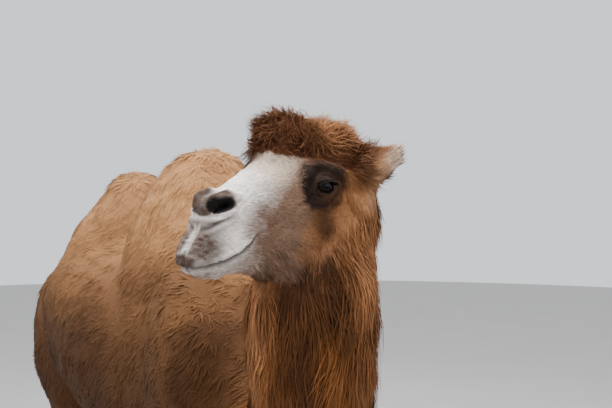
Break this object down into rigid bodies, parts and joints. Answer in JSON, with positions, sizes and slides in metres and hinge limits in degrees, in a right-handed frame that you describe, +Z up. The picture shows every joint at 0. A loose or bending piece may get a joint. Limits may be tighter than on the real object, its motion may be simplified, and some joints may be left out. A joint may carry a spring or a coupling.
{
  "type": "bactrian camel model",
  "caption": "Two-humped camel standing with neck raised and head turned to its right, in a shaggy brown coat with a dark forelock.",
  "frame": {"origin": "on the floor under the middle of the camel's bounding box", "axes": "+Z up, the body faces -Y, the camel's left side is +X; the head is turned towards -X"},
  "size_m": [0.9724, 2.2802, 1.908],
  "materials": {
    "coat_tan": "soft woolly fur, tan brown",
    "coat_russet": "long hanging hair, orange russet brown",
    "coat_pale": "short flat hair, pale grey to cream",
    "coat_dark": "woolly tuft, dark reddish brown",
    "eye_gloss": "wet glossy black brown",
    "nail_horn": "dull dark horn"
  },
  "bodies": {
    "root": {"ear_left": "coat_pale", "ear_right": "coat_pale", "eye_left": "eye_gloss", "eye_right": "eye_gloss", "foot_fore_left": "coat_tan", "foot_fore_right": "coat_tan", "foot_hind_left": "coat_tan", "foot_hind_right": "coat_tan", "forelock": "coat_dark", "head": "coat_pale", "hump_front": "coat_tan", "hump_rear": "coat_tan", "leg_fore_left": "coat_tan", "leg_fore_right": "coat_tan", "leg_hind_left": "coat_tan", "leg_hind_right": "coat_tan", "lower_jaw": "coat_pale", "nail_fore_left_left": "nail_horn", "nail_fore_left_right": "nail_horn", "nail_fore_right_left": "nail_horn", "nail_fore_right_right": "nail_horn", "nail_hind_left_left": "nail_horn", "nail_hind_left_right": "nail_horn", "nail_hind_right_left": "nail_horn", "nail_hind_right_right": "nail_horn", "neck": "coat_russet", "tail": "coat_tan", "trunk": "coat_tan"}
  },
  "joints": []
}
